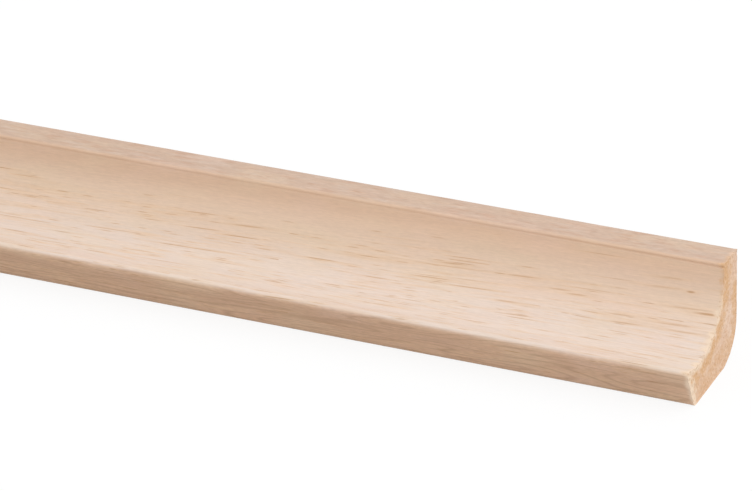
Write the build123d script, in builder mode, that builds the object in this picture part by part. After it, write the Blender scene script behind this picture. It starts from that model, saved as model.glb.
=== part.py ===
from build123d import *
from math import radians, tan
import os

# Cornice moulding: one length of planed hardwood with a hollow cove between two lips.
# Sizes are in millimetres. The length runs along X, the wall face looks to +Y and the
# flat underside lies on Z = 0. The origin is on the underside, at mid length and mid depth.

# Stock
length = 900.0  # the short length that small mouldings are sold in
depth = 33.0  # wall face to the front of the nose
height = 28.0  # underside to the top lip

# Top lip
lip_width = 8.8  # flat edge that runs along the wall
lip_drop = 1.8  # upright face below the lip, down to where the cove begins

# Front nose
nose_top = 11.2  # highest point of the nose, where the cove ends
nose_lean = 24.0  # degrees by which the front face leans back towards its foot

# Rounded corners
nose_round = 1.2  # between the cove and the front face
foot_round = 1.8  # between the front face and the underside
heel_round = 10.0  # between the underside and the wall face, clear of the room's corner
lip_front_round = 0.4  # edge of the top lip above the cove
lip_back_round = 0.2  # edge of the top lip against the wall

# Places across the section, as (y, z)
wall_y = depth / 2
lip_y = wall_y - lip_width
drop_z = height - lip_drop
nose_centre = Vector(nose_round - depth / 2, nose_top - nose_round)
face_top = nose_centre + Vector(-nose_round, 0).rotate(Axis.Z, nose_lean)
foot = Vector(face_top.X + face_top.Y * tan(radians(nose_lean)), 0)

# The cove leaves the upright face plumb and runs out onto the rounded nose without a
# corner. Those two tangents fix its radius.
across = lip_y - nose_centre.X
fall = drop_z - nose_centre.Y
cove_radius = (across**2 + fall**2 - nose_round**2) / (2 * (across + nose_round))
cove_centre = Vector(lip_y - cove_radius, drop_z)
cove_end = nose_centre + (cove_centre - nose_centre).normalized() * nose_round

with BuildPart() as cornice_moulding:
    with BuildSketch(Plane.YZ) as section:
        with BuildLine():
            underside = Line((wall_y, 0), foot)
            front_face = Line(underside @ 1, face_top)
            wall_face = Line(underside @ 0, (wall_y, height))
            top_lip = Line(wall_face @ 1, (lip_y, height))
            drop = Line(top_lip @ 1, (lip_y, drop_z))
            cove = TangentArc(drop @ 1, cove_end, tangent=drop % 1)
            nose = TangentArc(cove @ 1, front_face @ 1, tangent=cove % 1)
        make_face()
        corner_rounds = (
            (underside @ 0, heel_round),
            (underside @ 1, foot_round),
            (top_lip @ 0, lip_back_round),
            (top_lip @ 1, lip_front_round),
        )
        for corner, radius in corner_rounds:
            fillet(section.vertices().sort_by_distance(corner)[0], radius)
    extrude(amount=length / 2, both=True)

cornice_moulding.part.label = "cornice_moulding"

os.makedirs("parts", exist_ok=True)
export_step(cornice_moulding.part, "parts/cornice_moulding.step")
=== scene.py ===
"""Looks of a length of cornice moulding: planed wood with open pores and two rough sawn ends.

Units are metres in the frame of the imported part: X runs along the length, +Y is the wall side
and Z is up. The end that the camera shows is the one at +X.
"""

import logging
import math
import random
from dataclasses import dataclass, field
from enum import Enum
from functools import cached_property, partialmethod
from typing import ClassVar

import bpy
import numpy as np
from mathutils import Matrix, Vector, noise
from mathutils.geometry import delaunay_2d_cdt


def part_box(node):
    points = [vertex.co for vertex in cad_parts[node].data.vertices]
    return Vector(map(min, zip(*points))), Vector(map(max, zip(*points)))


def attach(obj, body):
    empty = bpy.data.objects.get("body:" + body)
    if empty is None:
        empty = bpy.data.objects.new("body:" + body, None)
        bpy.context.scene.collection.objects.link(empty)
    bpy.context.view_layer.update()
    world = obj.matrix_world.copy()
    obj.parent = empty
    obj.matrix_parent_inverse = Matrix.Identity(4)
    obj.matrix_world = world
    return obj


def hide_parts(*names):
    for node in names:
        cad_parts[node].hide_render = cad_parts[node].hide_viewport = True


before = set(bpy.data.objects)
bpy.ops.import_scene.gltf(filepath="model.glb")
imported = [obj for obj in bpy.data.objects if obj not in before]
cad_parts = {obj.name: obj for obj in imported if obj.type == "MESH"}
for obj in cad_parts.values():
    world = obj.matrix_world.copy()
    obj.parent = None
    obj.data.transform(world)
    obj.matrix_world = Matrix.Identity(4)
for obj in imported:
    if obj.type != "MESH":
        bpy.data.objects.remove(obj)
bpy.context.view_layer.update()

LOG = logging.getLogger("cornice_moulding")
MM = 0.001
BAKE_MAP = "OFBake"
NOISE_MIDDLE = 0.5

Colour = tuple[float, float, float]
Size = tuple[float, float, float]
Socket = bpy.types.NodeSocket
Feed = Socket | float | tuple[float, ...]
# Where an input starts and ends, then where the output does: at 0 and 1 if that is left out.
Ramp = tuple[float, ...]


class Face(Enum):
    """The faces met on the way round the section, each with its widest mesh spacing."""

    UNDERSIDE = ("underside", 1.0 * MM)
    HEEL = ("heel", 0.9 * MM)
    WALL = ("wall", 1.0 * MM)
    TOP_LIP = ("top lip", 0.5 * MM)
    LIP_EDGE = ("lip edge", 0.13 * MM)
    DROP = ("drop", 0.1 * MM)
    COVE = ("cove", 0.5 * MM)
    NOSE = ("nose", 0.22 * MM)
    FRONT = ("front", 0.5 * MM)
    FOOT = ("foot", 0.3 * MM)

    @property
    def spacing(self) -> float:
        """Widest distance between mesh points across this face."""
        return self.value[1]


class Finish(Enum):
    """Material slots of the moulding's mesh, in order."""

    PLANED = 0
    SAWN = 1


@dataclass(frozen=True)
class Spot:
    """A point on the section's outline.

    Attributes:
        place: Its y and z.
        outward: Unit normal there, as y and z.
        around: Distance walked along the outline to reach it.
        within: Distance walked along its own face.
        face: The face it lies on.
    """

    place: Vector
    outward: Vector
    around: float
    within: float
    face: Face


@dataclass(frozen=True)
class Straight:
    """A straight stretch of the outline, walked with the wood on the left."""

    face: Face
    start: Vector
    end: Vector

    def length(self) -> float:
        """Length of the stretch."""
        return (self.end - self.start).length

    def at(self, share: float) -> tuple[Vector, Vector]:
        """Point and outward normal at a share of the stretch, from 0 to 1."""
        way = (self.end - self.start).normalized()
        return self.start.lerp(self.end, share), Vector((way[1], -way[0]))


@dataclass(frozen=True)
class Round:
    """An arc of the outline. It bulges where its angle grows and is hollow where it shrinks."""

    face: Face
    centre: Vector
    radius: float
    first: float
    last: float

    def length(self) -> float:
        """Length of the arc."""
        return abs(self.last - self.first) * self.radius

    def at(self, share: float) -> tuple[Vector, Vector]:
        """Find a point of the arc.

        Args:
            share: How far along the arc it lies, from 0 to 1.

        Returns:
            The point, and the outward normal there.
        """
        angle = self.first + share * (self.last - self.first)
        ray = Vector((math.cos(angle), math.sin(angle)))
        return self.centre + self.radius * ray, math.copysign(1.0, self.last - self.first) * ray


@dataclass(frozen=True)
class Section:
    """The moulding's section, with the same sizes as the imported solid."""

    depth: float
    height: float
    lip_width: float = 8.8 * MM
    lip_drop: float = 1.8 * MM
    nose_top: float = 11.2 * MM
    nose_lean: float = math.radians(24.0)
    nose_round: float = 1.2 * MM
    foot_round: float = 1.8 * MM
    heel_round: float = 10.0 * MM
    lip_front_round: float = 0.4 * MM
    lip_back_round: float = 0.2 * MM

    def facing(self) -> Vector:
        """Outward normal of the leaning front face."""
        return Vector((-math.cos(self.nose_lean), -math.sin(self.nose_lean)))

    def nose(self) -> Vector:
        """Centre of the nose's round."""
        return Vector((self.nose_round - self.depth / 2, self.nose_top - self.nose_round))

    def cove(self) -> tuple[Vector, float]:
        """The cove's round, plumb below the lip and running out onto the nose without a corner.

        Returns:
            Its centre and its radius.
        """
        lip = self.depth / 2 - self.lip_width
        drop = self.height - self.lip_drop
        across, fall = lip - self.nose()[0], drop - self.nose()[1]
        radius = (across**2 + fall**2 - self.nose_round**2) / (2 * (across + self.nose_round))
        return Vector((lip - radius, drop)), radius

    def stretches(self) -> list[Straight | Round]:
        """The outline's stretches in order, from the foot along the underside and round.

        Returns:
            Straight and round stretches that join end to end.
        """
        wall = self.depth / 2
        lip = wall - self.lip_width
        nose = self.nose()
        cove, cove_radius = self.cove()
        meet = math.atan2(cove[1] - nose[1], cove[0] - nose[0])
        quarter = math.pi / 2
        leaning = math.pi + self.nose_lean
        face_top = nose + self.nose_round * self.facing()
        foot_inset = self.foot_round + (face_top[1] - self.foot_round) * math.sin(self.nose_lean)
        foot = Vector((face_top[0] + foot_inset / math.cos(self.nose_lean), self.foot_round))
        heel = Vector((wall - self.heel_round, self.heel_round))
        back_edge = Vector((wall - self.lip_back_round, self.height - self.lip_back_round))
        front_edge = Vector((lip + self.lip_front_round, self.height - self.lip_front_round))
        return [
            Straight(Face.UNDERSIDE, Vector((foot[0], 0.0)), Vector((heel[0], 0.0))),
            Round(Face.HEEL, heel, self.heel_round, -quarter, 0.0),
            Straight(Face.WALL, Vector((wall, heel[1])), Vector((wall, back_edge[1]))),
            Round(Face.LIP_EDGE, back_edge, self.lip_back_round, 0.0, quarter),
            Straight(Face.TOP_LIP, Vector((back_edge[0], self.height)), Vector((front_edge[0], self.height))),
            Round(Face.LIP_EDGE, front_edge, self.lip_front_round, quarter, 2 * quarter),
            Straight(Face.DROP, Vector((lip, front_edge[1])), Vector((lip, cove[1]))),
            Round(Face.COVE, cove, cove_radius, 0.0, meet - 2 * quarter),
            Round(Face.NOSE, nose, self.nose_round, meet, leaning),
            Straight(Face.FRONT, face_top, foot + self.foot_round * self.facing()),
            Round(Face.FOOT, foot, self.foot_round, leaning, 3 * quarter),
        ]

    def spots(self) -> list[Spot]:
        """Points along the outline, evenly spaced on each face.

        Returns:
            The points in order, with the last one a step before the first.
        """
        found: list[Spot] = []
        walked = 0.0
        for stretch in self.stretches():
            steps = max(1, math.ceil(stretch.length() / stretch.face.spacing))
            for step in range(steps):
                place, outward = stretch.at(step / steps)
                within = stretch.length() * step / steps
                found.append(Spot(place, outward, walked + within, within, stretch.face))
            walked += stretch.length()
        return found


class Layer(Enum):
    """Slices of the noise, one for each kind of unevenness."""

    GRAIN = 0.0
    WAVE = 5.0
    WEAR = 9.0
    FRAY = 13.0
    BITE = 21.0
    SPLINTER = 27.0

    def at(self, across: float, up: float) -> float:
        """The slice's noise at a place, between -1 and 1."""
        return noise.noise(Vector((across, up, self.value)))


@dataclass(frozen=True)
class Relief:
    """Unevenness of the wood that is deep enough to be modelled."""

    raised_grain: float = 0.005 * MM
    grain_length: float = 40.0 * MM
    grain_width: float = 0.9 * MM
    plane_wave: float = 0.03 * MM
    wave_length: float = 45.0 * MM
    wave_width: float = 9.0 * MM
    edge_wear: float = 0.20 * MM
    wear_length: float = 24.0 * MM
    quirk: float = 0.30 * MM
    quirk_width: float = 0.70 * MM
    quirk_fade: float = 85.0 * MM
    quirk_least: float = 0.2
    fray: float = 0.22 * MM
    fray_reach: float = 1.6 * MM
    fray_width: float = 1.1 * MM
    saw_bite: float = 0.45 * MM
    bite_width: float = 0.9 * MM
    usual_bite: float = 0.5
    coarse_share: float = 0.34
    fine_share: float = 0.22
    fine_scale: float = 3.1
    rim_share: float = 0.4
    saw_mark: float = 0.06 * MM
    mark_pitch: float = 1.3 * MM
    mark_slant: float = math.radians(62.0)

    def skin(self, along: float, from_end: float, spot: Spot) -> float:
        """How far the planed skin stands out of the true section.

        Args:
            along: Place along the length.
            from_end: Distance to the nearer sawn end.
            spot: Point of the outline.

        Returns:
            Distance along the outward normal.
        """
        grain = Layer.GRAIN.at(along / self.grain_length, spot.around / self.grain_width)
        wave = Layer.WAVE.at(along / self.wave_length, spot.around / self.wave_width)
        out = self.raised_grain * grain + self.plane_wave * wave
        if spot.face is Face.LIP_EDGE:
            wear = Layer.WEAR.at(along / self.wear_length, spot.place[0] / self.wear_length)
            out -= self.edge_wear * max(0.0, wear)
        if spot.face is Face.DROP and spot.within < self.quirk_width:
            depth = self.quirk * max(self.quirk_least, 1.0 - from_end / self.quirk_fade)
            out -= depth * math.sin(math.pi * spot.within / self.quirk_width)
        if from_end < self.fray_reach:
            fray = Layer.FRAY.at(from_end / self.fray_reach, spot.around / self.fray_width)
            out += self.fray * fray * (1.0 - from_end / self.fray_reach)
        return out

    def bite(self, place: Vector) -> float:
        """How deep the saw tore into an end.

        Args:
            place: The y and z of a point on the end.

        Returns:
            Distance back from the end plane, never negative.
        """
        coarse = Layer.BITE.at(*(place / self.bite_width))
        fine = Layer.SPLINTER.at(*(self.fine_scale * place / self.bite_width))
        across = place[0] * math.cos(self.mark_slant) + place[1] * math.sin(self.mark_slant)
        mark = 0.5 + 0.5 * math.sin(math.tau * across / self.mark_pitch)
        torn = self.usual_bite + self.coarse_share * coarse + self.fine_share * fine
        return max(0.0, self.saw_bite * torn) + self.saw_mark * mark


class NodeSheet:
    """The nodes of a material or of the world, with short ways to add more."""

    # Numbers of a mix node's sockets for colours.
    first_colour: ClassVar[int] = 6
    second_colour: ClassVar[int] = 7
    mixed_colour: ClassVar[int] = 2

    def __init__(self, owner: bpy.types.Material | bpy.types.World) -> None:
        """Give the owner an empty node tree.

        Args:
            owner: What the nodes belong to.
        """
        self.owner = owner
        self.owner.use_nodes = True
        self.tree = self.owner.node_tree
        self.tree.nodes.clear()

    def add(self, kind: str, feeds: dict[str | int, Feed], **settings: str) -> bpy.types.Node:
        """Add one node and feed its inputs.

        Args:
            kind: Blender's name for the node's type.
            feeds: What goes into each input, by its name or number: a socket or a constant.
            **settings: Properties of the node.

        Returns:
            The node.
        """
        node = self.tree.nodes.new(kind)
        for name, value in settings.items():
            setattr(node, name, value)
        for name, feed in feeds.items():
            if isinstance(feed, Socket):
                self.tree.links.new(feed, node.inputs[name])
            else:
                node.inputs[name].default_value = feed
        return node

    def maths(self, operation: str, first: Feed, second: Feed = 0.0) -> Socket:
        """One sum on two numbers."""
        return self.add("ShaderNodeMath", {0: first, 1: second}, operation=operation).outputs[0]

    plus = partialmethod(maths, "ADD")
    minus = partialmethod(maths, "SUBTRACT")
    times = partialmethod(maths, "MULTIPLY")
    least = partialmethod(maths, "MINIMUM")
    most = partialmethod(maths, "MAXIMUM")

    def eased(self, value: Feed, low: float, high: float, start: float = 0.0, end: float = 1.0) -> Socket:
        """A value that goes smoothly from start to end as the input goes from low to high."""
        feeds = {"Value": value, "From Min": low, "From Max": high, "To Min": start, "To Max": end}
        return self.add("ShaderNodeMapRange", feeds, interpolation_type="SMOOTHSTEP").outputs["Result"]

    def joined(self, x: Feed, y: Feed, z: Feed = 0.0) -> Socket:
        """A vector made of three numbers."""
        return self.add("ShaderNodeCombineXYZ", {0: x, 1: y, 2: z}).outputs[0]

    def vector(self, operation: str, *feeds: Feed, output: str | int = 0) -> Socket:
        """One sum on vectors."""
        return self.add("ShaderNodeVectorMath", dict(enumerate(feeds)), operation=operation).outputs[output]

    scaled = partialmethod(vector, "MULTIPLY")
    summed = partialmethod(vector, "ADD")
    length = partialmethod(vector, "LENGTH", output="Value")

    def shrunk(self, place: Feed, size: Size) -> Socket:
        """A place counted in lumps or cells of the given size along x, y and z."""
        return self.scaled(place, tuple(1 / side for side in size))

    def noise(self, place: Feed, size: Size, detail: float = 2.0, output: str | int = 0) -> Socket:
        """Cloudy noise whose lumps have the given size along x, y and z."""
        feeds = {"Vector": self.shrunk(place, size), "Scale": 1.0, "Detail": detail}
        return self.add("ShaderNodeTexNoise", feeds).outputs[output]

    def cells(self, place: Feed, size: Size) -> bpy.types.Node:
        """Scattered points, one to a cell of the given size along x, y and z."""
        return self.add("ShaderNodeTexVoronoi", {"Vector": self.shrunk(place, size), "Scale": 1.0})

    def toned(self, colour: Feed, shade: Feed) -> Socket:
        """A colour made darker or lighter by a factor."""
        factor = self.add("ShaderNodeCombineColor", {0: shade, 1: shade, 2: shade}).outputs[0]
        return self.mixed(1.0, colour, factor, "MULTIPLY")

    def mixed(self, share: Feed, first: Feed, second: Feed, blend: str = "MIX") -> Socket:
        """Two colours blended, with the given share of the second."""
        feeds = {0: share, self.first_colour: self.opaque(first), self.second_colour: self.opaque(second)}
        return self.add("ShaderNodeMix", feeds, data_type="RGBA", blend_type=blend).outputs[self.mixed_colour]

    @staticmethod
    def opaque(colour: Feed) -> Feed:
        """A plain colour with its alpha, or a socket as it is."""
        return (*colour, 1.0) if isinstance(colour, tuple) else colour


@dataclass(frozen=True)
class Surface:
    """How a wood's surface takes the light.

    Attributes:
        roughness: 0 for a mirror and 1 for a matte surface.
        sheen: Strength of the shine.
        depth: Depth of the fine relief, in metres.
    """

    roughness: float
    sheen: float
    depth: float


class WoodSheet(NodeSheet):
    """The nodes of a wood, with ways to measure places in it. All sizes are in millimetres.

    Attributes:
        axis: The y and z of the cove's axis.
        radius: The cove's radius.
        facing: Outward normal of the front face.
        front_at: Distance of the front face from the origin.
        wall_at: Distance of the wall face from the origin.
        end_at: Distance of both ends from the origin.
        place: Place in the wood.
        along: Its x, along the length.
        across: Its y, towards the wall.
        height: Its z, above the underside.
    """

    # How far the fibres go across and up for each millimetre of length, and how they wander.
    fibre_climb: ClassVar[tuple[float, float]] = (0.022, 0.030)
    wander: ClassVar[Size] = (0.0, 2.2, 2.2)
    wander_size: ClassVar[Size] = (85.0, 22.0, 22.0)
    # Where the looks of the front face and of the top lip begin.
    front_skin: ClassVar[Ramp] = (1.0, 0.0)
    top_skin: ClassVar[Ramp] = (27.2, 27.9)
    top_edge: ClassVar[Ramp] = (7.4, 9.4)

    def __init__(self, name: str, section: Section, half: float) -> None:
        """Start a new material.

        Args:
            name: The material's name.
            section: The moulding's section, in metres.
            half: Half the moulding's length, in metres.
        """
        super().__init__(bpy.data.materials.new(name))
        axis, radius = section.cove()
        self.axis = axis / MM
        self.radius = radius / MM
        self.facing = (0.0, *section.facing())
        self.front_at = (section.nose().dot(section.facing()) + section.nose_round) / MM
        self.wall_at = section.depth / 2 / MM
        self.end_at = half / MM
        metres = self.add("ShaderNodeTexCoord", {}).outputs["Object"]
        self.place = self.scaled(metres, (1 / MM, 1 / MM, 1 / MM))
        self.along, self.across, self.height = self.add("ShaderNodeSeparateXYZ", {0: self.place}).outputs

    @cached_property
    def run(self) -> Socket:
        """Follow the fibres.

        Returns:
            Place measured along them: the same y and z all along one fibre.
        """
        lumps = self.noise(self.place, self.wander_size, detail=1.0, output="Color")
        wander = self.scaled(self.summed(lumps, (-NOISE_MIDDLE,) * 3), self.wander)
        climb = self.joined(0.0, *(self.times(self.along, -rise) for rise in self.fibre_climb))
        return self.summed(self.summed(self.place, wander), climb)

    @cached_property
    def from_end(self) -> Socket:
        """Distance from the right end."""
        return self.minus(self.end_at, self.along)

    @cached_property
    def out_of_end(self) -> Socket:
        """Distance beyond the nearer end, below zero in the wood."""
        return self.minus(self.maths("ABSOLUTE", self.along), self.end_at)

    @cached_property
    def from_axis(self) -> tuple[Socket, Socket]:
        """Distance from the cove's axis, across and downwards."""
        return self.minus(self.across, self.axis[0]), self.minus(self.axis[1], self.height)

    @cached_property
    def down_cove(self) -> Socket:
        """Distance down the cove from the foot of the upright face."""
        across, fall = self.from_axis
        return self.times(self.maths("ARCTAN2", fall, across), self.radius)

    @cached_property
    def below_cove(self) -> Socket:
        """Depth below the cove's skin."""
        return self.minus(self.length(self.joined(*self.from_axis)), self.radius)

    @cached_property
    def below_front(self) -> Socket:
        """Depth below the front face."""
        return self.minus(self.front_at, self.vector("DOT_PRODUCT", self.place, self.facing, output="Value"))

    @cached_property
    def below_wall(self) -> Socket:
        """Depth below the wall face."""
        return self.minus(self.wall_at, self.across)

    @cached_property
    def on_front(self) -> Socket:
        """1 on the leaning front face and 0 elsewhere, with a soft change over the nose."""
        return self.eased(self.below_front, *self.front_skin)

    @cached_property
    def on_top(self) -> Socket:
        """1 on the flat of the top lip, behind its planed front edge, and 0 elsewhere."""
        behind = self.eased(self.across, *self.top_edge)
        return self.times(self.eased(self.height, *self.top_skin), behind)

    def finish(self, surface: Surface, colour: Feed, height: Feed) -> bpy.types.Material:
        """Finish the material with a bumpy surface.

        Args:
            surface: How it takes the light.
            colour: Colour of the wood.
            height: Height of the fine relief, from 0 to 1.

        Returns:
            The finished material.
        """
        bump = self.add("ShaderNodeBump", {"Height": height, "Distance": surface.depth, "Strength": 1.0})
        shader = self.add("ShaderNodeBsdfPrincipled", {
            "Base Color": colour,
            "Roughness": surface.roughness,
            "Specular IOR Level": surface.sheen,
            "Normal": bump.outputs[0],
        })
        self.add("ShaderNodeOutputMaterial", {"Surface": shader.outputs[0]})
        return self.owner


@dataclass(frozen=True)
class Streak:
    """One long pore in the cove, in millimetres.

    Attributes:
        from_end: Distance of its middle from the right end.
        down: Distance of its middle down the cove.
        half: Half its length.
        strength: How dark it is, from 0 to 1.
        half_width: Half its width.
        climb: How far all long pores rise per millimetre towards the right end.
        fade: From the dark core, as a share of the way to the rim, to the rim.
    """

    from_end: float
    down: float
    half: float
    strength: float
    half_width: float = 0.26
    climb: ClassVar[float] = 0.05
    fade: ClassVar[Ramp] = (0.2, 1.0)

    @classmethod
    def levelled(cls, sheet: WoodSheet) -> Socket:
        """Place measured by the cove, with each long pore lying level."""
        level = sheet.minus(sheet.down_cove, sheet.times(sheet.from_end, cls.climb))
        return sheet.joined(sheet.from_end, level, sheet.below_cove)

    def distance(self, sheet: WoodSheet, levelled: Feed) -> Socket:
        """How far a place is from the pore.

        Args:
            sheet: Nodes of the wood.
            levelled: Place measured by the cove, with each long pore lying level.

        Returns:
            0 in the pore's middle and 1 at its rim.
        """
        level = self.down - self.climb * self.from_end
        middle = (-self.from_end / self.half, -level / self.half_width, 0.0)
        per_size = (1 / self.half, 1 / self.half_width, 1.0)
        return sheet.length(sheet.vector("MULTIPLY_ADD", levelled, per_size, middle))


@dataclass(frozen=True)
class Pores:
    """Open pores of one kind: short tubes along the fibres, at most one to a cell.

    Attributes:
        cell: Size of the cells in millimetres.
        radius: Radius of the widest tubes, as a share of the cell.
        commonness: Share of the cells that have a tube where the pores crowd most.
        strength: How dark the darkest tubes are, from 0 to 1.
        faintest: How dark the faintest tubes are, as a share of the darkest.
        thinnest: Radius of the thinnest tubes, as a share of the widest.
        picked: From cells without a tube to cells with one.
        tube: From a tube's middle to its rim, which is at 1.
        halo: From a tube's rim to where the golden wood beside it ends.
    """

    cell: Size
    radius: float
    commonness: float
    strength: float
    faintest: ClassVar[float] = 0.5
    thinnest: ClassVar[float] = 0.65
    picked: ClassVar[Ramp] = (-0.03, 0.03)
    tube: ClassVar[Ramp] = (0.5, 1.0, 1.0, 0.0)
    halo: ClassVar[Ramp] = (0.8, 2.2, 1.0, 0.0)

    def masks(self, sheet: WoodSheet, crowd: Feed) -> tuple[Socket, Socket]:
        """Pick some of the cells and put a tube in each, some darker than others.

        Args:
            sheet: Nodes of the wood.
            crowd: How close the pores lie, from 0 to 1.

        Returns:
            How dark the pores are, up to their strength, and how close they are, from 0 to 1.
        """
        cells = sheet.cells(sheet.run, self.cell)
        draws = sheet.add("ShaderNodeSeparateColor", {0: cells.outputs["Color"]}).outputs
        core = sheet.eased(draws[1], 0.0, 1.0, self.faintest * self.strength, self.strength)
        rim = sheet.eased(draws[2], 0.0, 1.0, self.thinnest * self.radius, self.radius)
        within = sheet.maths("DIVIDE", cells.outputs["Distance"], rim)
        picked = sheet.eased(sheet.minus(sheet.times(crowd, self.commonness), draws[0]), *self.picked)
        dark = sheet.times(sheet.eased(within, *self.tube), sheet.times(core, picked))
        return dark, sheet.times(sheet.eased(within, *self.halo), picked)


@dataclass(frozen=True)
class TonesAndPaintedShade:
    """Ground colour of the wood from the cove's hollow out to its other faces, with painted light and shade.

    Pale in the hollow, darker and warmer up the cove to the lip: painted shade under the lip.
    Darker and warmer on the front face: painted shade on the face turned down.
    Lighter on the front face near the foot: painted light from below.
    A little lighter towards the right end: painted light.
    The ramps are heights, or a depth below the cove, in millimetres.
    """

    # Pale in the hollow, darker and warmer up the cove to the lip edge: painted shade under the lip.
    hollow: Colour = (0.795, 0.666, 0.583)
    middle: Colour = (0.804, 0.617, 0.476)
    shaded_upper: Colour = (0.778, 0.556, 0.405)
    # Darker and warmer on the front face: painted shade on the face turned down.
    front: Colour = (0.652, 0.424, 0.285)
    # Lighter low on the front face by the foot: painted light from below.
    foot: Colour = (0.745, 0.500, 0.342)
    # Darkest and warmest at the lip edge: the top of the painted shade under the lip.
    edge: Colour = (0.712, 0.484, 0.335)
    top: Colour = (0.607, 0.436, 0.333)
    back: Colour = (0.750, 0.565, 0.432)
    # Darker far from the right end and lighter near it: painted light.
    far_painted_shade: Colour = (0.970, 0.963, 0.955)
    near_painted_light: Colour = (1.022, 1.026, 1.030)
    painted_light_reach: float = 210.0
    # Heights over which the painted shade deepens up the cove to the lip edge.
    to_middle: Ramp = (9.6, 17.4)
    to_shaded_upper: Ramp = (17.4, 26.5)
    to_edge: Ramp = (26.7, 27.9)
    to_back: Ramp = (2.0, 4.0)
    # Heights over which the painted light from below fades up the front face.
    to_lit_foot: Ramp = (6.0, 1.5)

    def colour(self, sheet: WoodSheet) -> Socket:
        """Blend the ground colours by place, painted light and shade included.

        Args:
            sheet: Nodes of the wood.

        Returns:
            The ground colour, with painted light and shade.
        """
        # Painted shade: darker and warmer from the hollow up the cove to the lip edge.
        ground = sheet.mixed(sheet.eased(sheet.height, *self.to_middle), self.hollow, self.middle)
        ground = sheet.mixed(sheet.eased(sheet.height, *self.to_shaded_upper), ground, self.shaded_upper)
        ground = sheet.mixed(sheet.eased(sheet.height, *self.to_edge), ground, self.edge)
        ground = sheet.mixed(sheet.eased(sheet.below_cove, *self.to_back), ground, self.back)
        # Front face darker with painted shade, and lighter by the foot with painted light from below.
        front = sheet.mixed(sheet.eased(sheet.height, *self.to_lit_foot), self.front, self.foot)
        ground = sheet.mixed(sheet.on_front, ground, front)
        ground = sheet.mixed(sheet.on_top, ground, self.top)
        # Painted light: a little lighter towards the right end.
        near = sheet.eased(sheet.along, sheet.end_at - self.painted_light_reach, sheet.end_at)
        return sheet.mixed(1.0, ground, sheet.mixed(near, self.far_painted_shade, self.near_painted_light), "MULTIPLY")


@dataclass(frozen=True)
class SawnWood:
    """End grain left by the saw: mottled, golden by the cove and the wall, with a pale fluffy rim.

    Sizes are in millimetres, and so are the ramps by depth or height: by_cove to rim.
    """

    name: str = "sawn_end"
    tan: Colour = (0.76, 0.525, 0.378)
    cream: Colour = (0.88, 0.680, 0.540)
    brown: Colour = (0.57, 0.335, 0.170)
    gold: Colour = (0.725, 0.443, 0.236)
    pale: Colour = (0.93, 0.760, 0.590)
    by_cove: Ramp = (7.5, 3.375)
    by_wall: Ramp = (4.0, 1.6)
    low_down: Ramp = (9.0, 4.5, 0.0, 0.60)
    below_lip: Ramp = (23.0, 17.0)
    rim: Ramp = (2.3, 0.46, 0.0, 0.85)
    front_share: float = 0.6
    uneven: float = 4.0
    uneven_size: Size = (6.0, 2.2, 2.2)
    blotch_size: Size = (6.0, 3.4, 3.4)
    blotches: Ramp = (0.32, 0.52, 0.50, 0.90)
    mottle_size: Size = (3.2, 3.0, 3.0)
    mottle: Ramp = (0.34, 0.66, 0.0, 0.75)
    fleck_size: Size = (0.8, 0.7, 0.7)
    pale_flecks: Ramp = (0.50, 0.72, 0.0, 0.50)
    dark_flecks: Ramp = (0.46, 0.28, 0.0, 0.60)
    pore_cell: Size = (4.0, 0.9, 0.9)
    pore: Ramp = (0.125, 0.25, 1.0, 0.0)
    pore_share: float = 0.30
    pore_depth: float = 0.4
    surface: Surface = Surface(roughness=0.85, sheen=0.10, depth=0.10 * MM)

    def material(self, sheet: WoodSheet) -> bpy.types.Material:
        """A material with cut fibres and pores seen from their ends."""
        height = sheet.minus(self.flecks(sheet), sheet.times(self.pores(sheet), self.pore_depth))
        return sheet.finish(self.surface, self.colour(sheet), height)

    def colour(self, sheet: WoodSheet) -> Socket:
        """Mottled cream and tan with brown pores.

        Args:
            sheet: Nodes of the wood.

        Returns:
            Colour of the cut fibres.
        """
        lumps = sheet.minus(sheet.noise(sheet.place, self.uneven_size), NOISE_MIDDLE)
        uneven = sheet.times(lumps, self.uneven)
        below_lip = sheet.eased(sheet.height, *self.below_lip)
        by_cove = sheet.eased(sheet.plus(sheet.below_cove, uneven), *self.by_cove)
        by_wall = sheet.eased(sheet.plus(sheet.below_wall, uneven), *self.by_wall)
        low_down = sheet.eased(sheet.plus(sheet.height, uneven), *self.low_down)
        golden = sheet.most(by_cove, sheet.most(sheet.times(by_wall, below_lip), low_down))
        blotches = sheet.eased(sheet.noise(sheet.place, self.blotch_size), *self.blotches)
        below_front = sheet.times(sheet.below_front, self.front_share)
        rim = sheet.eased(sheet.plus(uneven, sheet.least(sheet.below_cove, below_front)), *self.rim)
        mottle = sheet.eased(sheet.noise(sheet.place, self.mottle_size, detail=3.0), *self.mottle)
        flecks = self.flecks(sheet)
        colour = sheet.mixed(mottle, self.tan, self.cream)
        colour = sheet.mixed(sheet.times(blotches, golden), colour, self.gold)
        colour = sheet.mixed(sheet.times(rim, below_lip), colour, self.pale)
        colour = sheet.mixed(sheet.eased(flecks, *self.pale_flecks), colour, self.cream)
        colour = sheet.mixed(sheet.eased(flecks, *self.dark_flecks), colour, self.brown)
        return sheet.mixed(sheet.times(self.pores(sheet), self.pore_share), colour, self.brown)

    def flecks(self, sheet: WoodSheet) -> Socket:
        """Fine ups and downs of the cut fibres."""
        return sheet.noise(sheet.place, self.fleck_size, detail=3.0)

    def pores(self, sheet: WoodSheet) -> Socket:
        """1 in the middle of a pore and 0 outside it."""
        return sheet.eased(sheet.cells(sheet.place, self.pore_cell).outputs["Distance"], *self.pore)


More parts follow.
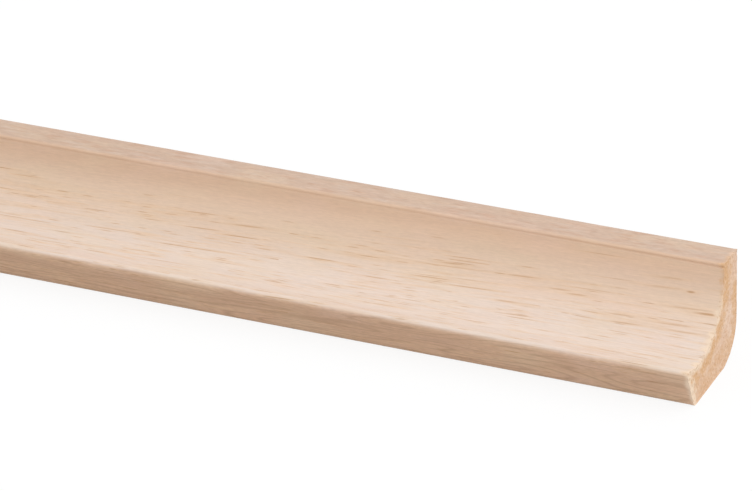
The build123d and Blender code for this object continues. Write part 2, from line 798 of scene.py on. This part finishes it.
@dataclass(frozen=True)
class PlanedWood:
    """Bare planed hardwood: pale, matte, with dark open pores in loose flocks.

    Sizes and rows are in millimetres. The rows are distances down the cove.
    """

    name: str = "planed_wood"
    tones_and_shade: TonesAndPaintedShade = TonesAndPaintedShade()
    sawn: SawnWood = SawnWood()
    pore: Colour = (0.72, 0.585, 0.455)
    gold: Colour = (0.775, 0.545, 0.355)
    blush: Colour = (0.82, 0.60, 0.50)
    straw: Colour = (0.79, 0.63, 0.45)
    fibre_red: Colour = (0.56, 0.345, 0.24)
    fibre_grey: Colour = (0.66, 0.52, 0.43)
    ring: Colour = (0.44, 0.265, 0.165)
    pore_kinds: tuple[Pores, ...] = (
        Pores((8.0, 0.50, 0.50), 0.28, 0.70, 0.74),
        Pores((28.0, 0.62, 0.62), 0.25, 1.00, 0.90),
        Pores((60.0, 0.80, 0.80), 0.19, 1.00, 0.84),
    )
    streaks: tuple[Streak, ...] = (
        Streak(2.5, 11.0, 5.0, 0.95, 0.42),
        Streak(8.0, 6.5, 1.5, 0.95, 0.34),
        Streak(8.0, 10.5, 6.5, 0.45),
        Streak(13.0, 4.0, 4.5, 0.30),
        Streak(15.0, 6.5, 6.0, 0.30),
        Streak(7.0, 16.5, 5.5, 0.50),
        Streak(10.0, 15.0, 6.5, 0.50),
        Streak(4.0, 24.5, 3.0, 0.55),
        Streak(22.5, 17.0, 5.5, 0.60),
        Streak(24.0, 15.0, 5.0, 0.55),
        Streak(36.0, 12.0, 3.5, 0.60),
        Streak(40.5, 11.5, 4.0, 0.55),
        Streak(50.5, 10.0, 6.5, 0.60),
        Streak(53.0, 17.0, 4.0, 0.60),
        Streak(69.0, 10.0, 4.5, 0.60),
        Streak(82.0, 26.0, 5.0, 0.50),
        Streak(124.0, 10.0, 6.0, 0.60),
    )
    halo: float = 0.40
    streak_halo: Ramp = (0.5, 2.4, 1.0, 0.0)
    rows: tuple[float, ...] = (10.1, 12.3, 15.2, 16.9, 20.6, 23.8, 26.3)
    row_gain: Ramp = (0.24, 0.8, 0.17, 0.0)
    flock_size: Size = (22.0, 3.0, 3.0)
    flocks: Ramp = (0.42, 0.64, 0.14, 1.0)
    thin_out: Ramp = (21.5, 16.5, 0.03, 1.0)
    patch_size: Size = (22.0, 8.0, 8.0)
    blush_patches: Ramp = (0.50, 0.72, 0.0, 0.22)
    straw_patches: Ramp = (0.50, 0.30, 0.0, 0.22)
    tinge_size: Size = (16.0, 1.0, 1.0)
    tinge: Ramp = (0.45, 0.70, 0.0, 0.4)
    band_size: Size = (150.0, 4.5, 4.5)
    bands: Ramp = (0.3, 0.7, 0.98, 1.02)
    fibre_size: Size = (7.0, 0.30, 0.30)
    fibre_shade: Ramp = (0.25, 0.75, 0.97, 1.03)
    fibre_height: float = 0.3
    speck_size: Size = (1.7, 0.34, 0.34)
    top_specks: Ramp = (0.0, 1.0, 0.16, 0.36)
    front_specks: Ramp = (0.0, 1.0, 0.0, 0.18)
    top_fibre_size: Size = (6.0, 1.2, 1.2)
    red_fibres: Ramp = (0.52, 0.68, 0.0, 0.5)
    grey_fibres: Ramp = (0.48, 0.32, 0.0, 0.5)
    figure_size: Size = (70.0, 5.0, 5.0)
    ring_count: float = 11.0
    ring_half: float = 0.5
    ring_lines: Ramp = (0.28, 0.5, 0.0, 0.40)
    torn_size: Size = (9.0, 2.2, 2.2)
    torn_reach: Ramp = (0.30, 0.70, 0.0, 2.0)
    torn_flats: Ramp = (0.0, 1.0, 1.0, 0.5)
    torn_edge: Ramp = (-1.1, 0.7, 0.0, 0.9)
    surface: Surface = Surface(roughness=0.62, sheen=0.25, depth=0.03 * MM)

    def material(self, sheet: WoodSheet) -> bpy.types.Material:
        """Make the material.

        Args:
            sheet: Nodes of the wood.

        Returns:
            A material whose pattern runs through the wood as a solid.
        """
        fibres = sheet.noise(sheet.run, self.fibre_size, detail=3.0)
        crowd = self.crowd(sheet)
        pores, halo = self.pores(sheet, crowd)
        colour = sheet.mixed(halo, self.tinted(sheet, crowd), self.gold)
        colour = sheet.mixed(pores, self.fibred(sheet, colour, fibres), self.pore, "MULTIPLY")
        colour = sheet.mixed(self.tearing(sheet), colour, self.sawn.colour(sheet))
        return sheet.finish(self.surface, colour, sheet.minus(sheet.times(fibres, self.fibre_height), pores))

    def crowd(self, sheet: WoodSheet) -> Socket:
        """How close the pores lie: thick in flocks and in rows, thin towards the top lip.

        Args:
            sheet: Nodes of the wood.

        Returns:
            Closeness from 0 to 1.
        """
        near = self.rows[-1]
        for row in self.rows:
            near = sheet.least(near, sheet.maths("ABSOLUTE", sheet.minus(sheet.down_cove, row)))
        flocks = sheet.noise(sheet.place, self.flock_size, detail=1.0)
        crowd = sheet.eased(sheet.plus(flocks, sheet.eased(near, *self.row_gain)), *self.flocks)
        return sheet.times(crowd, sheet.eased(sheet.height, *self.thin_out))

    def pores(self, sheet: WoodSheet, crowd: Feed) -> tuple[Socket, Socket]:
        """All the dark pores, scattered and long ones, and the golden wood beside them.

        Args:
            sheet: Nodes of the wood.
            crowd: How close the pores lie, from 0 to 1.

        Returns:
            How strong the pores are and how strong the gold is, each from 0 to 1.
        """
        dark, beside, nearest = 0.0, 0.0, self.streak_halo[1]
        for kind in self.pore_kinds:
            tubes, near_tubes = kind.masks(sheet, crowd)
            dark = sheet.most(dark, tubes)
            beside = sheet.most(beside, near_tubes)
        levelled = Streak.levelled(sheet)
        for streak in self.streaks:
            distance = streak.distance(sheet, levelled)
            dark = sheet.most(dark, sheet.eased(distance, *streak.fade, streak.strength, 0.0))
            nearest = sheet.least(nearest, distance)
        beside = sheet.most(beside, sheet.eased(nearest, *self.streak_halo))
        return dark, sheet.times(beside, self.halo)

    def tinted(self, sheet: WoodSheet, crowd: Feed) -> Socket:
        """Ground colour with painted light and shade, soft patches and a golden tinge where pores crowd.

        Args:
            sheet: Nodes of the wood.
            crowd: How close the pores lie, from 0 to 1.

        Returns:
            Colour of the wood between its pores and fibres, with painted light and shade.
        """
        patches = sheet.noise(sheet.place, self.patch_size)
        # The ground colour holds painted light and shade.
        colour = self.tones_and_shade.colour(sheet)
        colour = sheet.mixed(sheet.eased(patches, *self.blush_patches), colour, self.blush)
        colour = sheet.mixed(sheet.eased(patches, *self.straw_patches), colour, self.straw)
        tinge = sheet.eased(sheet.noise(sheet.run, self.tinge_size), *self.tinge)
        colour = sheet.mixed(sheet.times(tinge, crowd), colour, self.gold)
        return sheet.toned(colour, sheet.eased(sheet.noise(sheet.run, self.band_size), *self.bands))

    def fibred(self, sheet: WoodSheet, colour: Feed, fibres: Feed) -> Socket:
        """Lay fibres over the wood: red and grey ones on the top lip, wavy lines on the front.

        Args:
            sheet: Nodes of the wood.
            colour: Colour of the wood between its fibres.
            fibres: Noise of the fine fibres, from 0 to 1.

        Returns:
            Colour of the wood between its pores.
        """
        top_fibres = sheet.noise(sheet.run, self.top_fibre_size, detail=3.0)
        for ramp, tint in ((self.red_fibres, self.fibre_red), (self.grey_fibres, self.fibre_grey)):
            colour = sheet.mixed(sheet.times(sheet.eased(top_fibres, *ramp), sheet.on_top), colour, tint)
        rings = sheet.times(sheet.noise(sheet.run, self.figure_size, detail=1.0), self.ring_count)
        lines = sheet.eased(sheet.maths("PINGPONG", rings, self.ring_half), *self.ring_lines)
        colour = sheet.mixed(sheet.times(lines, sheet.on_front), colour, self.ring)
        colour = sheet.toned(colour, sheet.eased(fibres, *self.fibre_shade))
        on_front = sheet.eased(sheet.on_front, *self.front_specks)
        contrast = sheet.plus(sheet.eased(sheet.on_top, *self.top_specks), on_front)
        specks = sheet.minus(sheet.noise(sheet.run, self.speck_size), NOISE_MIDDLE)
        return sheet.toned(colour, sheet.plus(1.0, sheet.times(specks, contrast)))

    def tearing(self, sheet: WoodSheet) -> Socket:
        """Torn fibres along the edge of each sawn end, mostly in the cove.

        Args:
            sheet: Nodes of the wood.

        Returns:
            1 on the torn fibres and 0 elsewhere.
        """
        tufts = sheet.eased(sheet.noise(sheet.place, self.torn_size), *self.torn_reach)
        flats = sheet.eased(sheet.most(sheet.on_top, sheet.on_front), *self.torn_flats)
        return sheet.eased(sheet.plus(sheet.out_of_end, sheet.times(tufts, flats)), *self.torn_edge)


@dataclass(frozen=True)
class FlatLayout:
    """The skin laid flat in strips on a square sheet, with both sawn ends beside them.

    Attributes:
        length: Length of the moulding.
        girth: Distance round its section.
        end_width: Width of an end.
        end_height: Height of an end.
        strips: How many strips the length is cut into.
        gap: Room left between the pieces.
    """

    length: float
    girth: float
    end_width: float
    end_height: float
    strips: int = 3
    gap: float = 2.5 * MM

    @property
    def side(self) -> float:
        """Side of the sheet."""
        tall = self.gap + self.strips * (self.girth + self.gap)
        return max(tall, self.length / self.strips + self.end_width + 3 * self.gap)

    def strip(self, along: float) -> int:
        """Number of the strip that a place along the length lies in, from the left end."""
        return min(int((along / self.length + 0.5) * self.strips), self.strips - 1)

    def skin(self, strip: int, along: float, around: float) -> tuple[float, float]:
        """Where a point of the skin lies on the sheet.

        Args:
            strip: Number of its strip.
            along: Its place along the length.
            around: Its distance round the section.

        Returns:
            Shares of the sheet's side, across and up.
        """
        across = self.gap + along - (strip / self.strips - 0.5) * self.length
        up = self.gap + strip * (self.girth + self.gap) + around
        return across / self.side, up / self.side

    def end(self, side: float, place: Vector) -> tuple[float, float]:
        """Where a point of a sawn end lies on the sheet.

        Args:
            side: 1 for the right end and -1 for the left one.
            place: The point's y and z.

        Returns:
            Shares of the sheet's side, across and up.
        """
        across = self.length / self.strips + 2 * self.gap + self.end_width / 2 + place[0]
        up = self.gap + place[1] + (self.end_height + self.gap if side > 0 else 0.0)
        return across / self.side, up / self.side


@dataclass
class Moulding:
    """The length of moulding: a planed skin round the section and a sawn face at each end.

    Steps along the length grow from first_step at the ends to widest_step. Points of an end face
    are end_spacing apart, on a triangular grid. They are shaken by a share of that and keep a share
    of it clear of the rim. Points closer than merge_distance become one.
    """

    low: Vector
    high: Vector
    relief: Relief = field(default_factory=Relief)
    first_step: float = 0.12 * MM
    step_growth: float = 1.45
    widest_step: float = 3.0 * MM
    end_spacing: float = 0.42 * MM
    shake_share: float = 0.25
    clear_share: float = 0.6
    seed: int = 11
    row_share: ClassVar[float] = math.sqrt(0.75)
    inside_rim: ClassVar[int] = 1
    merge_distance: ClassVar[float] = 1e-9
    section: Section = field(init=False)
    spots: list[Spot] = field(init=False)
    half: float = field(init=False)
    girth: float = field(init=False)
    layout: FlatLayout = field(init=False)

    def __post_init__(self) -> None:
        """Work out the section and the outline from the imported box."""
        self.section = Section(self.high[1] - self.low[1], self.high[2] - self.low[2])
        self.spots = self.section.spots()
        self.half = (self.high[0] - self.low[0]) / 2
        self.girth = sum(stretch.length() for stretch in self.section.stretches())
        self.layout = FlatLayout(2 * self.half, self.girth, self.section.depth, self.section.height)

    def stations(self) -> list[float]:
        """Places along the length where the skin has points, close together near both ends.

        Returns:
            Places from the left end to the right end.
        """
        inward = [0.0]
        step = self.first_step
        while inward[-1] < self.half:
            inward.append(inward[-1] + step)
            step = min(step * self.step_growth, self.widest_step)
        fit = self.half / inward[-1]
        right = [self.half - fit * distance for distance in inward]
        return [-place for place in right[:-1]] + right[::-1]

    def ring(self, along: float) -> list[Vector]:
        """Points of the skin at one place along the length.

        Args:
            along: Place along the length.

        Returns:
            One point for each spot of the outline.
        """
        from_end = self.half - abs(along)
        points = []
        for spot in self.spots:
            place = spot.place + self.relief.skin(along, from_end, spot) * spot.outward
            x = along
            if from_end == 0.0:
                x -= math.copysign(self.relief.rim_share * self.relief.bite(spot.place), along)
            points.append(Vector((x, place[0], place[1])))
        return points

    def end_fill(self, rim: list[Vector]) -> list[Vector]:
        """Points spread over an end face, inside its rim.

        Args:
            rim: The rim's points, as y and z.

        Returns:
            Points as y and z, on a shaken triangular grid.
        """
        draw = random.Random(self.seed)
        shake = self.shake_share * self.end_spacing
        row_height = self.end_spacing * self.row_share
        clearance = self.clear_share * self.end_spacing
        edge = np.array(rim)
        following = np.roll(edge, -1, axis=0)
        found = []
        for row in range(1, math.ceil(self.section.height / row_height)):
            shift = 0.5 * (row % 2)
            for column in range(math.ceil(self.section.depth / self.end_spacing)):
                y = (column + shift) * self.end_spacing - self.section.depth / 2 + draw.uniform(-shake, shake)
                z = row * row_height + draw.uniform(-shake, shake)
                clear = np.hypot(edge[:, 0] - y, edge[:, 1] - z).min() > clearance
                astride = (edge[:, 1] > z) != (following[:, 1] > z)
                rise = np.where(astride, following[:, 1] - edge[:, 1], 1.0)
                reach = edge[:, 0] + (z - edge[:, 1]) * (following[:, 0] - edge[:, 0]) / rise
                if clear and np.count_nonzero(astride & (reach > y)) % 2:
                    found.append(Vector((y, z)))
        return found

    def build(self) -> bpy.types.Object:
        """Make the mesh of the whole moulding as one closed skin.

        Returns:
            The object, linked to the scene.
        """
        stations = self.stations()
        count = len(self.spots)
        points: list[Vector] = [point for along in stations for point in self.ring(along)]
        faces: list[tuple[int, ...]] = []
        slots: list[int] = []
        flat: list[tuple[float, float]] = []
        arounds = [spot.around for spot in self.spots] + [self.girth]
        for row in range(len(stations) - 1):
            strip = self.layout.strip((stations[row] + stations[row + 1]) / 2)
            for column in range(count):
                quad = ((row, column), (row + 1, column), (row + 1, column + 1), (row, column + 1))
                faces.append(tuple(at * count + spot % count for at, spot in quad))
                flat.extend(self.layout.skin(strip, stations[at], arounds[spot]) for at, spot in quad)
                slots.append(Finish.PLANED.value)
        mesh = bpy.data.meshes.new("moulding")
        for end in (0, len(stations) - 1):
            side = math.copysign(1.0, stations[end])
            added = self.close_end(end * count, side, points)
            faces.extend(added)
            slots.extend([Finish.SAWN.value] * len(added))
            flat.extend(self.layout.end(side, points[number].yz) for face in added for number in face)
        mesh.from_pydata(points, [], faces)
        mesh.uv_layers.new(name=BAKE_MAP).data.foreach_set("uv", np.array(flat).ravel())
        mesh.polygons.foreach_set("material_index", slots)
        mesh.polygons.foreach_set("use_smooth", [True] * len(faces))
        rims = {row * count + column for row in (0, len(stations) - 1) for column in range(count)}
        mesh.edges.foreach_set("use_edge_sharp", [rims.issuperset(edge.vertices) for edge in mesh.edges])
        mesh.update()
        piece = bpy.data.objects.new("moulding", mesh)
        bpy.context.scene.collection.objects.link(piece)
        return piece

    def close_end(self, start: int, side: float, points: list[Vector]) -> list[tuple[int, ...]]:
        """Fill one end with a rough face on the points of its rim.

        Args:
            start: Number of the rim's first point.
            side: 1 for the right end and -1 for the left one.
            points: The mesh's points, which the new ones are added to.

        Returns:
            The new faces, as numbers of their points.
        """
        count = len(self.spots)
        rim = [points[start + number].yz for number in range(count)]
        fill = self.end_fill(rim)
        edges = [(number, (number + 1) % count) for number in range(count)]
        spread = delaunay_2d_cdt(rim + fill, edges, [], self.inside_rim, self.merge_distance)
        places, _, triangles, sources, *_ = spread
        numbers = []
        for place, source in zip(places, sources, strict=True):
            if source and source[0] < count:
                numbers.append(start + source[0])
            else:
                numbers.append(len(points))
                points.append(Vector((side * (self.half - self.relief.bite(place)), *place)))
        order = int(side)
        return [tuple(numbers[corner] for corner in triangle[::order]) for triangle in triangles]

    def dress(self, piece: bpy.types.Object) -> None:
        """Give the mesh its two finishes.

        Args:
            piece: The moulding's object.
        """
        for wood in (PlanedWood(), SawnWood()):
            sheet = WoodSheet(wood.name, self.section, self.half)
            piece.data.materials.append(wood.material(sheet))

    def fit(self, piece: bpy.types.Object) -> None:
        """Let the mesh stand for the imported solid.

        Args:
            piece: The moulding's object.
        """
        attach(piece, "root")
        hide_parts("cornice_moulding")


@dataclass(frozen=True)
class Studio:
    """A white floor and soft light from above."""

    white: ClassVar[tuple[float, ...]] = (1.0, 1.0, 1.0, 1.0)
    floor_size: float = 40.0
    floor_colour: Colour = (0.70, 0.70, 0.70)
    shadow_share: float = 0.12
    sky_strength: float = 0.84
    sun_strength: float = 0.92
    sun_angle: float = math.radians(60.0)
    sun_from: tuple[float, float, float] = (0.62, 0.05, 0.78)

    def floor(self) -> bpy.types.Object:
        """Lay the floor. To the camera it is white, with a faint shadow.

        Returns:
            The floor.
        """
        half = self.floor_size / 2
        mesh = bpy.data.meshes.new("floor")
        square = [(-half, -half, 0.0), (half, -half, 0.0), (half, half, 0.0), (-half, half, 0.0)]
        mesh.from_pydata(square, [], [(0, 1, 2, 3)])
        sheet = NodeSheet(bpy.data.materials.new("floor_white"))
        lit = sheet.add("ShaderNodeBsdfDiffuse", {"Color": (*self.floor_colour, 1.0)}).outputs[0]
        shaded = sheet.add("ShaderNodeBsdfDiffuse", {"Color": self.white}).outputs[0]
        glow = sheet.add("ShaderNodeEmission", {"Color": self.white, "Strength": 1.0}).outputs[0]
        seen = sheet.add("ShaderNodeMixShader", {0: self.shadow_share, 1: glow, 2: shaded}).outputs[0]
        sheet.add("ShaderNodeOutputMaterial", {"Surface": self.by_ray(sheet, lit, seen)})
        mesh.materials.append(sheet.owner)
        floor = bpy.data.objects.new("floor", mesh)
        bpy.context.scene.collection.objects.link(floor)
        return floor

    @staticmethod
    def by_ray(sheet: NodeSheet, light: Socket, look: Socket) -> Socket:
        """Use one shader for light and another for what the camera sees.

        Args:
            sheet: Nodes of a material or of the world.
            light: Shader for light.
            look: Shader for what the camera sees, also by way of a shine or of glass.

        Returns:
            The two as one shader.
        """
        path = sheet.add("ShaderNodeLightPath", {})
        seen = path.outputs["Is Camera Ray"]
        for ray in ("Is Glossy Ray", "Is Transmission Ray"):
            seen = sheet.most(seen, path.outputs[ray])
        return sheet.add("ShaderNodeMixShader", {0: seen, 1: light, 2: look}).outputs[0]

    def light(self) -> None:
        """Set an even sky, white to the camera, and one large soft lamp, far above the front."""
        sheet = NodeSheet(bpy.data.worlds.new("studio_sky"))
        sky, backdrop = (
            sheet.add("ShaderNodeBackground", {"Color": self.white, "Strength": strength}).outputs[0]
            for strength in (self.sky_strength, 1.0)
        )
        sheet.add("ShaderNodeOutputWorld", {"Surface": self.by_ray(sheet, sky, backdrop)})
        bpy.context.scene.world = sheet.owner
        lamp = bpy.data.lights.new("soft_lamp", "SUN")
        lamp.energy = self.sun_strength
        lamp.angle = self.sun_angle
        lamp_object = bpy.data.objects.new("soft_lamp", lamp)
        lamp_object.rotation_mode = "QUATERNION"
        lamp_object.rotation_quaternion = Vector(self.sun_from).to_track_quat("Z", "Y")
        bpy.context.scene.collection.objects.link(lamp_object)


@dataclass(frozen=True)
class Viewpoint:
    """Where the camera stands, measured from the bottom wall corner of the shown end."""

    stands: tuple[float, float, float] = (0.3200, -0.8862, 0.5243)
    azimuth: float = math.radians(25.089)
    elevation: float = math.radians(27.674)
    roll: float = math.radians(-1.954)
    focal_pixels: float = 4460.0
    image_width: float = 752.0
    sensor_width: float = 36.0

    def camera(self, corner: Vector) -> bpy.types.Object:
        """Set up the scene's camera.

        Args:
            corner: Bottom wall corner of the shown end.

        Returns:
            The camera.
        """
        data = bpy.data.cameras.new("camera")
        data.sensor_width = self.sensor_width
        data.lens = self.sensor_width * self.focal_pixels / self.image_width
        camera = bpy.data.objects.new("camera", data)
        back = Vector((
            math.sin(self.azimuth) * math.cos(self.elevation),
            -math.cos(self.azimuth) * math.cos(self.elevation),
            math.sin(self.elevation),
        ))
        level = Vector((math.cos(self.azimuth), math.sin(self.azimuth), 0.0))
        turned = Matrix.Rotation(self.roll, 3, back) @ level
        axes = Matrix((turned, back.cross(turned), back)).transposed()
        camera.matrix_world = Matrix.Translation(corner + Vector(self.stands)) @ axes.to_4x4()
        bpy.context.scene.collection.objects.link(camera)
        bpy.context.scene.camera = camera
        return camera


def main() -> None:
    """Build the moulding, the studio and the camera."""
    logging.basicConfig(level=logging.INFO, format="%(message)s")
    bpy.context.scene.view_settings.view_transform = "Standard"
    moulding = Moulding(*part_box("cornice_moulding"))
    piece = moulding.build()
    moulding.dress(piece)
    moulding.fit(piece)
    LOG.info("%s: %d points, %d faces", piece.name, len(piece.data.vertices), len(piece.data.polygons))
    studio = Studio()
    LOG.info("%s: laid", studio.floor().name)
    studio.light()
    corner = Vector((moulding.high[0], moulding.high[1], moulding.low[2]))
    LOG.info("%s: set", Viewpoint().camera(corner).name)


if __name__ == "__main__":
    main()
